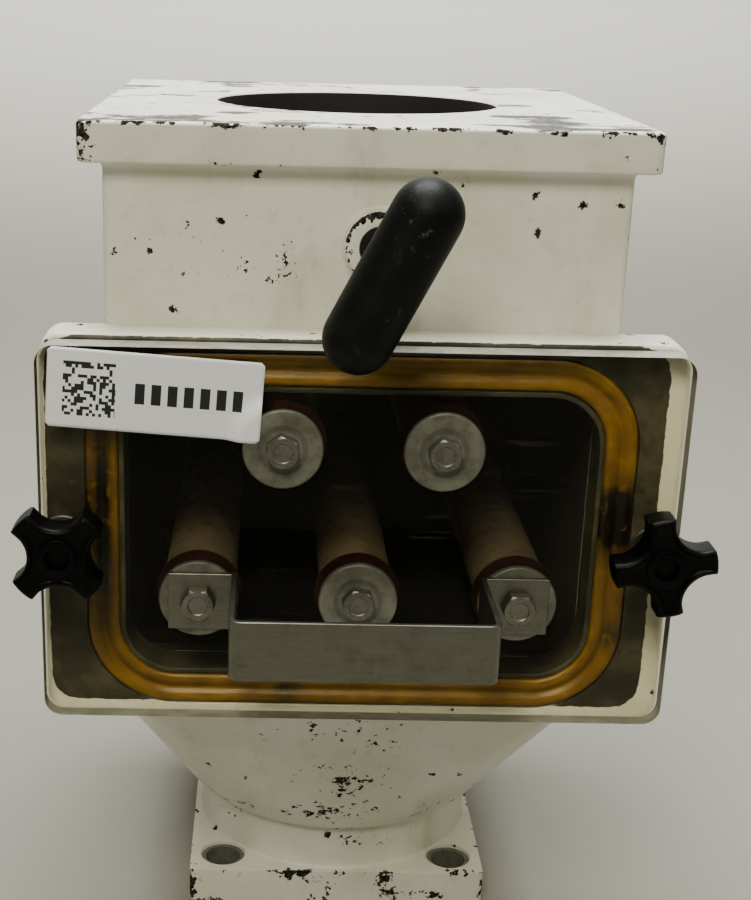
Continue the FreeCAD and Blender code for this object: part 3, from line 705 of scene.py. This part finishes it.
def buildFrontFrame():
    bm, _ = fromNode("front_frame", drawerFrame["edge"], drawerFrame["grid"])
    low, high = boxOf("front_frame")
    piece = addPiece("frontFrame", bm, (frameFinish,), "housing", ("front_frame",))
    points = pointsOf(piece)
    x0, x1, y, z0, z1 = low[0], high[0], low[1] + 2, low[2], high[2]
    rim = [(np.array([x0, y, z1]), np.array([x1, y, z1])), (np.array([x0, y, z0]), np.array([x0, y, z1])),
           (np.array([x1, y, z0]), np.array([x1, y, z1])), (np.array([x0, y, z0]), np.array([x1, y, z0]))]
    knocks = [((x0, y, z1 - 4), (16, 10, 8), 0.55), ((0, y, z0), (90, 8, 4), 0.4),
              ((x1 - 20, y + 8, z1), (20, 10, 4), 0.45)]
    setAttribute(piece, "wear", np.maximum(nearLines(points, rim, 3) * 0.36, spots(points, knocks)))
    setAttribute(piece, "rub", np.zeros(len(points)))
    # millimetres inside a rounded rectangle set in from the rim, on the front face and the opening
    left, right, bottom, top = drawerFrame["bands"]
    corner = drawerFrame["corner"]
    halfX, halfZ = (x1 - x0 - left - right) / 2, (z1 - z0 - bottom - top) / 2
    awayX = np.abs(points[:, 0] - (x0 + left + x1 - right) / 2) - halfX + corner
    awayZ = np.abs(points[:, 2] - (z0 + bottom + z1 - top) / 2) - halfZ + corner
    outside = np.hypot(np.maximum(awayX, 0), np.maximum(awayZ, 0)) + np.minimum(np.maximum(awayX, awayZ), 0)
    inOpening = (np.abs(points[:, 0]) < 104) & (np.abs(points[:, 2] - (z0 + z1) / 2) < 66)
    milled = (points[:, 1] < low[1] + 1) | inOpening
    setAttribute(piece, "bare", np.where(milled, np.clip(corner - outside, -8, 8), -8))
    return piece


# cover gasket: moulded ring with two lips and a groove between them

gasketRing = {"band": 14.0, "corner": 37.0, "sidePoints": 40, "cornerPoints": 16,
              "profile": ((0, 1.0), (0, 0.42), (0.05, 0.12), (0.14, 0.0), (0.26, 0.02), (0.36, 0.16),
                          (0.44, 0.38), (0.5, 0.42), (0.56, 0.38), (0.64, 0.16), (0.74, 0.02), (0.86, 0.0),
                          (0.95, 0.12), (1, 0.42), (1, 1.0))}


def buildGasket():
    low, high = boxOf("cover_gasket")
    width, height = high[0] - low[0], high[2] - low[2]
    middle = (low[2] + high[2]) / 2
    rings = []
    for across, back in gasketRing["profile"]:
        inset = across * gasketRing["band"]
        outline = around(width - 2 * inset, height - 2 * inset, gasketRing["corner"] + 1 - inset,
                         gasketRing["sidePoints"], gasketRing["cornerPoints"])
        rings.append(upright(outline, low[1] + back * (high[1] - low[1]), 0, middle))
    bm = bmesh.new()
    ringSkin(bm, rings, closed=True)
    piece = addPiece("coverGasket", bm, (moulded["amberRubber"],), "housing",
                     ("cover_gasket",), sharpAngle=60)
    points = pointsOf(piece)
    inLeft = low[0] + gasketRing["band"] / 2
    # painted shade on the gasket: the right knob's shadow high on the right side, dark patches lower on that
    # side and along the foot, and a long dark run down the left side
    dirt = [((inLeft, low[1], middle + 6), (5, 20, 52), 1.3),
            ((inLeft - 6, low[1], middle + 12), (5, 20, 26), 1.0),
            ((high[0] - 7, low[1], middle + 10), (12, 20, 15), 2.0),
            ((high[0] - 5, low[1], middle - 44), (6, 20, 9), 0.9),
            ((-30, low[1], low[2] + 7), (5, 20, 6), 0.9)]
    setAttribute(piece, "dirt", spots(points, dirt))
    return piece


# clear cover with eased edges, drilled for the bolts and the knob studs; its cut edges are matt

def buildCover():
    bm, _ = fromNode("cover_plate", 0.7, segments=3)
    bm.normal_update()
    for face in bm.faces:
        face.material_index = int(abs(face.normal.y) < 0.3)
    return addPiece("acrylicCover", bm, (acrylicSheet, moulded["sawnEdge"]), "drawer",
                    ("cover_plate",), 30)


# bar fasteners: disc washers and hexagon screws

fastener = {"discEdge": 0.9, "ringRadius": 10.2, "ringDepth": 0.35, "chamfer": 0.9, "flats": 13.0,
            "shank": 4.0, "ringInset": 3.1, "headRing": 0.4, "head": 5.3, "count": 48}


def barCentres():
    tubes = [boxOf("bar_tube_%d" % number) for number in range(1, 6)]
    return [((low[0] + high[0]) / 2, (low[2] + high[2]) / 2) for low, high in tubes]


def buildDiscWashers():
    low, high = boxOf("disc_washers")
    radius = (high[0] - low[0]) / 2 - max(abs(x) for x, _ in barCentres())
    front, back, edge = low[1], high[1], fastener["discEdge"]
    ring, dip = fastener["ringRadius"], fastener["ringDepth"]
    profile = [(4.5, back), (4.5, front), (ring - 2.4, front), (ring - 1.6, front + dip), (ring, front + dip),
               (ring + 0.7, front), (radius - edge - 1.6, front), (radius - edge, front + 0.1)]
    profile += bent((radius - edge, front + 0.1), (radius, front + edge))[1:]
    profile += [(radius, back)]
    bm = bmesh.new()
    for x, z in barCentres():
        ringSkin(bm, turned(profile, x, z), closed=True)
    piece = addPiece("discWashers", bm, (discFinish,), "drawer", ("disc_washers",), 45)
    points = pointsOf(piece)
    wear = np.zeros(len(points))
    # painted shade: a dark ring just outside each screw head, its shadow over the groove, and a darker rim
    for x, z in barCentres():
        away = np.hypot(points[:, 0] - x, points[:, 2] - z)
        wear = np.maximum(wear, np.clip(1 - abs(away - ring + 0.8) / 1.6, 0, 1) * (away < ring + 1.5) * 0.75)
        wear = np.maximum(wear, (away > radius - 0.6) * 0.4 * (away < radius + 0.5))
    setAttribute(piece, "wear", wear)
    return piece


def buildHexScrews():
    low, high = boxOf("bar_bolts")
    discFront = boxOf("disc_washers")[0][1]
    tabFront = low[1] + fastener["head"]  # the heads on the handle's tabs stand furthest out
    across = fastener["flats"] / 2
    bm = bmesh.new()
    turns = random.Random(5)
    angles = [2 * math.pi * i / fastener["count"] for i in range(fastener["count"])]
    for x, z in barCentres():
        seat = tabFront if abs(x) > 50 else discFront
        head = seat - fastener["head"]
        twist = turns.uniform(0, 60) if abs(x) < 50 else 0

        def hexagon(limit, y):
            ring = []
            for a in angles:
                fold = (a - math.radians(twist)) % math.radians(60) - math.radians(30)
                reach = min(across / math.cos(fold), limit)
                ring.append((x + reach * math.cos(a), y, z + reach * math.sin(a)))
            return ring

        def ring(radius, y):
            return [(x + radius * math.cos(a), y, z + radius * math.sin(a)) for a in angles]

        chamfer = fastener["chamfer"]
        inset = fastener["ringInset"]
        rings = [ring(fastener["shank"], high[1]), ring(fastener["shank"], seat), hexagon(9, seat),
                 hexagon(9, head + chamfer), hexagon(7.1, head + chamfer * 0.55), hexagon(6.5, head),
                 ring(inset + 1.2, head), ring(inset + 0.7, head + fastener["headRing"]),
                 ring(inset - 0.6, head + fastener["headRing"] * 1.2)]
        ringSkin(bm, rings, cap=(True, True))
    return addPiece("hexScrews", bm, (steels["dullZinc"],), "drawer", ("bar_bolts",), 24)


# bent strip handle

def buildPullHandle():
    bm, _ = fromNode("pull_handle", 0.6, segments=3)
    return addPiece("pullHandle", bm, (steels["handleStrip"],), "drawer",
                    ("pull_handle",), 30)


# paper label laid over the cover and the washer beside it

labelSheet = {"width": 88.8, "height": 33.6, "tilt": -3.5, "corner": 1.6, "cells": 60, "rows": 24}


def buildLabel():
    low, high = boxOf("asset_label")
    centre = (low + high) / 2
    discFront = boxOf("disc_washers")[0][1]
    discX, discZ = barCentres()[0]
    tilt = math.radians(labelSheet["tilt"])
    halfX, halfZ, corner = labelSheet["width"] / 2, labelSheet["height"] / 2, labelSheet["corner"]
    bm = bmesh.new()
    uv = bm.loops.layers.uv.new("print")
    rows = []
    for j in range(labelSheet["rows"] + 1):
        v = -halfZ + 2 * halfZ * j / labelSheet["rows"]
        edge = max(0.0, abs(v) - (halfZ - corner))
        shrink = corner - math.sqrt(max(corner ** 2 - edge ** 2, 0))
        row = []
        for i in range(labelSheet["cells"] + 1):
            u = (halfX - shrink) * (2 * i / labelSheet["cells"] - 1)
            x = centre[0] + u * math.cos(tilt) - v * math.sin(tilt)
            z = centre[2] + u * math.sin(tilt) + v * math.cos(tilt)
            away = math.hypot(x - discX, z - discZ)
            rise = min(max((26 - away) / 8.5, 0), 1)
            rise = rise * rise * (3 - 2 * rise)
            y = high[1] - 0.05 - (high[1] - discFront + 0.3) * rise
            row.append((bm.verts.new(Vector((x, y, z)) * mm), (u / halfX / 2 + 0.5, v / halfZ / 2 + 0.5)))
        rows.append(row)
    for lower, upper in zip(rows, rows[1:]):
        for a, b, c, d in zip(lower, lower[1:], upper[1:], upper):
            face = bm.faces.new([p[0] for p in (a, b, c, d)])
            for loop, place in zip(face.loops, (a, b, c, d)):
                loop[uv].uv = place[1]
    piece = addPiece("assetLabel", bm, (labelPaper,), "drawer", ("asset_label",))
    thick = piece.modifiers.new("paperThickness", "SOLIDIFY")
    thick.thickness = 0.25 * mm
    thick.offset = 1.0
    return piece


# rubber grip: capsule and stem run together

grip = {"radius": 14.0, "length": 80.5, "tilt": 27.0, "stem": 10.5, "voxel": 0.9}


def buildGrip():
    rodLow, rodHigh = boxOf("gate_rod")
    barLow, barHigh = boxOf("t_handle_bar")
    centre = (barLow + barHigh) / 2
    stemBack = boxOf("t_handle_grip")[1][1]
    lean = math.radians(grip["tilt"])
    axis = Vector((math.sin(lean), 0, math.cos(lean)))
    half = grip["length"] / 2 - grip["radius"]
    bm = bmesh.new()
    side = Vector((0, 1, 0))
    across = axis.cross(side)
    profile = [(grip["radius"] * math.sin(a), -half - grip["radius"] * math.cos(a))
               for a in np.linspace(0.12, math.pi / 2, 9)]
    profile += [(r, -y) for r, y in profile[::-1]]
    rings = []
    for r, along in profile:
        rings.append([Vector(centre) + axis * along + (side * math.cos(t) + across * math.sin(t)) * r
                      for t in np.linspace(0, 2 * math.pi, 64, endpoint=False)])
    ringSkin(bm, rings, cap=(True, True))
    x, z = (rodLow[0] + rodHigh[0]) / 2, (rodLow[2] + rodHigh[2]) / 2
    r = grip["stem"]
    stem = [(r, centre[1]), (r, stemBack - 1.5), (r - 0.4, stemBack - 0.4), (r - 1.5, stemBack)]
    ringSkin(bm, turned(stem, x, z, 48), cap=(True, True))
    piece = addPiece("rubberGrip", bm, (moulded["gripRubber"],), "gate_handle",
                     ("t_handle_grip", "t_handle_bar"), 80)
    piece.modifiers.clear()
    remesh = piece.modifiers.new("oneSkin", "REMESH")
    remesh.mode = "VOXEL"
    remesh.voxel_size = grip["voxel"] * mm
    remesh.use_smooth_shade = True
    smooth = piece.modifiers.new("softJoin", "SMOOTH")
    smooth.factor, smooth.iterations = 0.5, 6
    return piece


# cross knobs with scooped sides, a raised boss and a round recess

knob = {"outer": 21.5, "waist": 12.5, "scoop": 12.5, "edge": 2.0, "boss": 8.5, "recess": 4.6,
        "recessDepth": 3.0, "neck": 9.5, "neckDepth": 8.0, "dish": 1.4, "count": 144}


def buildKnob(side, lobeAngle):
    ringLow, ringHigh = boxOf(side + "_knob_washer")
    low, high = boxOf(side + "_knob")
    x, z = (ringLow[0] + ringHigh[0]) / 2, (ringLow[2] + ringHigh[2]) / 2
    front, back = low[1], high[1]
    bodyBack = back - knob["neckDepth"]
    angles = [2 * math.pi * i / knob["count"] for i in range(knob["count"])]
    reach = knob["waist"] + knob["scoop"]

    def star(angle, inset):
        # distance to the outline: the round tip, or the scoop where that is nearer
        fold = (angle - math.radians(lobeAngle)) % (math.pi / 2) - math.pi / 4
        scoop = knob["scoop"] + inset
        inside = scoop ** 2 - (reach * math.sin(fold)) ** 2
        edge = knob["outer"] - inset
        if inside > 0:
            scooped = reach * math.cos(fold) - math.sqrt(inside)
            edge = -math.log(math.exp(-1.3 * edge) + math.exp(-1.3 * scooped)) / 1.3
        return edge

    def outline(inset, y, share=1.0, radius=0.0):
        ring = []
        for a in angles:
            r = star(a, inset) * share + radius * (1 - share)
            ring.append((x + r * math.cos(a), y, z + r * math.sin(a)))
        return ring

    edge = knob["edge"]
    rings = [outline(0, back, 0, knob["neck"] - 1.2), outline(0, bodyBack, 0, knob["neck"]),
             outline(edge, bodyBack), outline(edge * 0.3, bodyBack - edge * 0.3), outline(0, bodyBack - edge)]
    rings += [outline(0, y) for y in np.linspace(bodyBack - edge, front + edge, 5)[1:]]
    for t in (30, 60, 90):
        t = math.radians(t)
        rings.append(outline(edge * (1 - math.cos(t)), front + edge * (1 - math.sin(t))))
    boss = knob["boss"]
    rings += [outline(edge, front + knob["dish"] * 0.5, 0.75, boss + 2),
              outline(edge, front + knob["dish"], 0.4, boss + 1), outline(0, front + knob["dish"], 0, boss),
              outline(0, front + knob["dish"] * 0.3, 0, boss - 0.3), outline(0, front, 0, boss - 1.1),
              outline(0, front, 0, knob["recess"] + 0.6),
              outline(0, front + 0.6, 0, knob["recess"]),
              outline(0, front + knob["recessDepth"], 0, knob["recess"] - 0.4)]
    bm = bmesh.new()
    ringSkin(bm, rings, cap=(True, True))
    return addPiece(side + "ClampKnob", bm, (moulded["knobPhenolic"],), side + "_knob_unit",
                    (side + "_knob",), 42)


def buildKnobWasher(side):
    low, high = boxOf(side + "_knob_washer")
    x, z, radius = (low[0] + high[0]) / 2, (low[2] + high[2]) / 2, (high[0] - low[0]) / 2
    profile = [(4.35, high[1]), (4.35, low[1]), (radius - 0.5, low[1])]
    profile += [(radius, low[1] + 0.5), (radius, high[1] - 0.3), (radius - 0.3, high[1])]
    bm = bmesh.new()
    ringSkin(bm, turned(profile, x, z, 56), closed=True)
    return addPiece(side + "KnobWasher", bm, (steels["dullZinc"],), side + "_knob_ring",
                    (side + "_knob_washer",), 45)


# guide boss of the gate rod: painted, chipped down to dark metal at its rim

rodBoss = {"round": 1.8, "bore": 9.0}


def buildRodBoss():
    low, high = boxOf("rod_boss")
    x, z, radius = (low[0] + high[0]) / 2, (low[2] + high[2]) / 2, (high[0] - low[0]) / 2
    bulge = rodBoss["round"]
    profile = [(rodBoss["bore"], high[1]), (rodBoss["bore"], low[1] + 0.5), (rodBoss["bore"] + 0.5, low[1])]
    profile += [(r, low[1]) for r in (11, 13)]
    profile += bent((radius - bulge, low[1]), (radius, low[1] + bulge))
    profile += [(radius, y) for y in (low[1] + 4, low[1] + 6, high[1] - 2)] + [(radius + 1.5, high[1])]
    bm = bmesh.new()
    ringSkin(bm, turned(profile, x, z), closed=True)
    piece = addPiece("rodBoss", bm, (enamelPaint,), "housing", ("rod_boss",), 50)
    points = pointsOf(piece)
    away = np.hypot(points[:, 0] - x, points[:, 2] - z)
    rim = np.clip(1 - np.hypot(away - radius, points[:, 1] - low[1]) / 6, 0, 1)
    upper = np.clip((points[:, 2] - z) / radius + 0.4, 0, 1)
    setAttribute(piece, "wear", np.maximum(rim * 0.75, rim * upper * 1.2))
    setAttribute(piece, "rub", np.zeros(len(points)))
    return piece


print("shell and flanges")
buildHousingShell()
buildTopFlange()
buildBottomFlange()
buildFrontFrame()
buildRodBoss()
print("drawer")
buildGasket()
buildCover()
buildDiscWashers()
buildHexScrews()
buildPullHandle()
buildLabel()
print("handles")
buildGrip()
knobAngles = {"left": 45.0, "right": 10.0}
for knobSide, knobAngle in knobAngles.items():
    buildKnob(knobSide, knobAngle)
    buildKnobWasher(knobSide)

# finishes on the nodes shown as the CAD made them

nodeFinishes = {
    "brushedStainless": ("inlet_funnel", "gate_deck", "left_gate_rail", "right_gate_rail", "gate_blade",
                         "rod_lug", "bar_front_plugs", "bar_end_plugs"),
    "turnedRod": ("gate_rod",),
    "turnedBronze": ("rod_bush",),
    "dullZinc": ("rail_screws", "rod_clip", "left_knob_stud", "right_knob_stud")
                + tuple("pole_discs_%d" % number for number in range(1, 6)),
    "dustyTube": tuple("bar_tube_%d" % number for number in range(1, 6)),
    "nickelMagnet": tuple("magnet_stack_%d" % number for number in range(1, 6)),
}
finishOf = {node: steels[name] for name, nodes in nodeFinishes.items() for node in nodes}
finishOf.update({"rod_wiper": moulded["wiperRubber"], "bar_seals": moulded["redSeal"]})
for node, finish in finishOf.items():
    mesh = cadNodes[node].data
    mesh.materials.clear()
    mesh.materials.append(finish)
    mesh.shade_smooth()
    mesh.set_sharp_from_angle(angle=math.radians(30))

# floor, lights and camera

print("floor, lights, camera")
# the wall colour is set lighter than the floor's as painted light on one paper sweep
studio = {"floor": "#89887e", "wall": "#f0efe6", "floorHalf": 6.0, "back": 1.7, "bend": 0.6, "height": 3.5}


def buildBackdrop():
    # plain pale paper sweep: floor, then a wide bend up to the wall, coloured lighter as it rises as painted
    # light
    bm = bmesh.new()
    half, back, bend = studio["floorHalf"], studio["back"], studio["bend"]
    line = [(-half, 0.0), (back - bend, 0.0)]
    line += [(back - bend + bend * math.sin(t), bend - bend * math.cos(t))
             for t in np.linspace(0, math.pi / 2, 12)[1:]]
    line += [(back, studio["height"])]
    rows = [[bm.verts.new((x, y, z)) for y, z in line] for x in (-half, half)]
    for i in range(len(line) - 1):
        bm.faces.new((rows[0][i], rows[1][i], rows[1][i + 1], rows[0][i + 1]))
    mesh = bpy.data.meshes.new("paperSweep")
    bm.to_mesh(mesh)
    bm.free()
    mesh.shade_smooth()
    sweep = bpy.data.objects.new("paperSweep", mesh)
    bpy.context.scene.collection.objects.link(sweep)
    material, tree, place = startMaterial("palePaper")
    height = addNode(tree, "SeparateXYZ", {0: place}, out=2)
    # painted light: the sweep turns lighter as it rises into the wall
    wallPaintedLighter = addNode(tree, "MapRange", {"Value": height, "From Min": 0.0, "From Max": 0.5},
                    interpolation_type="SMOOTHSTEP")
    tone = addNode(tree, "Mix", {0: wallPaintedLighter, 6: studio["floor"], 7: studio["wall"]}, out=2, data_type="RGBA")
    shader = addNode(tree, "BsdfPrincipled", {"Base Color": tone, "Roughness": 0.8})
    addNode(tree, "OutputMaterial", {"Surface": shader})
    mesh.materials.append(material)


lamps = {
    # place, aim point, width, watts, colour
    "keyLight": ((-0.35, -1.5, 1.6), (0, 0, 0.2), 0.6, 22.5, "#fffae6"),
    "fillLight": ((1.5, -0.9, 1.3), (0, 0, 0.2), 0.8, 4, "#fbf8e4"),
    "overheadLight": ((0.0, 0.35, 2.1), (0, 0.25, 0.4), 1.2, 92, "#ffffff"),
}
for lampName, (place, aim, width, watts, colour) in lamps.items():
    light = bpy.data.lights.new(lampName, "AREA")
    light.shape, light.size, light.energy = "SQUARE", width, watts
    light.color = linear(colour)[:3]
    lamp = bpy.data.objects.new(lampName, light)
    lamp.location = place
    lamp.rotation_euler = (Vector(aim) - Vector(place)).to_track_quat("-Z", "Y").to_euler()
    bpy.context.scene.collection.objects.link(lamp)

world = bpy.data.worlds.new("softRoom")
world.use_nodes = True
roomLight = world.node_tree.nodes["Background"]
roomLight.inputs["Color"].default_value = linear("#e8e6cc")
roomLight.inputs["Strength"].default_value = 0.18
bpy.context.scene.world = world
buildBackdrop()

# eye level view of the drawer's front from a little above, lens as a long phone zoom
view = {"place": (-0.040787, -0.77036, 0.454554), "turn": 0.999, "down": 19.181, "roll": 1.392,
        "lens": 61.917, "shiftX": 0.0951, "shiftY": 0.0716}
turn, down, roll = (math.radians(view[k]) for k in ("turn", "down", "roll"))
ahead = Vector((math.sin(turn) * math.cos(down), math.cos(turn) * math.cos(down), -math.sin(down)))
levelRight = Vector((math.cos(turn), -math.sin(turn), 0))
levelUp = levelRight.cross(ahead)
right = levelRight * math.cos(roll) + levelUp * math.sin(roll)
up = levelUp * math.cos(roll) - levelRight * math.sin(roll)
camera = bpy.data.objects.new("camera", bpy.data.cameras.new("camera"))
camera.matrix_world = (Matrix.Translation(view["place"]) @
                       Matrix((right, up, -ahead)).transposed().to_4x4())
camera.data.lens, camera.data.sensor_width = view["lens"], 36.0
camera.data.shift_x, camera.data.shift_y = view["shiftX"], view["shiftY"]
camera.data.clip_start = 0.01
bpy.context.scene.collection.objects.link(camera)
bpy.context.scene.camera = camera

bpy.context.view_layer.update()
